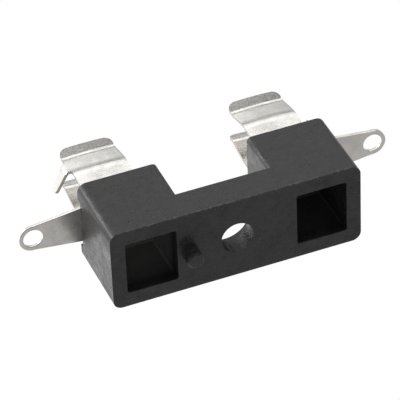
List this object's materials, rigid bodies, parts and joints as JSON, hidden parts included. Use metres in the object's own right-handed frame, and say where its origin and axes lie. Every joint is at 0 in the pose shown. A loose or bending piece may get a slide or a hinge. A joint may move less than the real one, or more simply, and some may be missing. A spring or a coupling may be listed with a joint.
{
  "type": "cartridge fuse block",
  "caption": "Moulded fuse block: a black base with hollow towers, riveted spring clips that hold a glass cartridge fuse, solder lugs, a central mounting hole and a locating pin.",
  "frame": {"origin": "on the axis of the mounting hole, in the plane of the mounting face", "axes": "+X along the block and the fuse, +Z out of the mounting face towards the clips, the locating pin lies at -X and points to -Z"},
  "size_m": [0.0544, 0.0126, 0.0272],
  "materials": {
    "moulding": "black moulded thermoset, semi-matte",
    "clip_plate": "bright tin plate on spring bronze, satin",
    "lug_plate": "dull tin plate on brass",
    "rivet_plate": "bright nickel plate on brass"
  },
  "bodies": {
    "root": {"base": "moulding", "clip_left": "clip_plate", "clip_right": "clip_plate", "lug_left": "lug_plate", "lug_right": "lug_plate", "rivet_left": "rivet_plate", "rivet_right": "rivet_plate"}
  },
  "joints": []
}
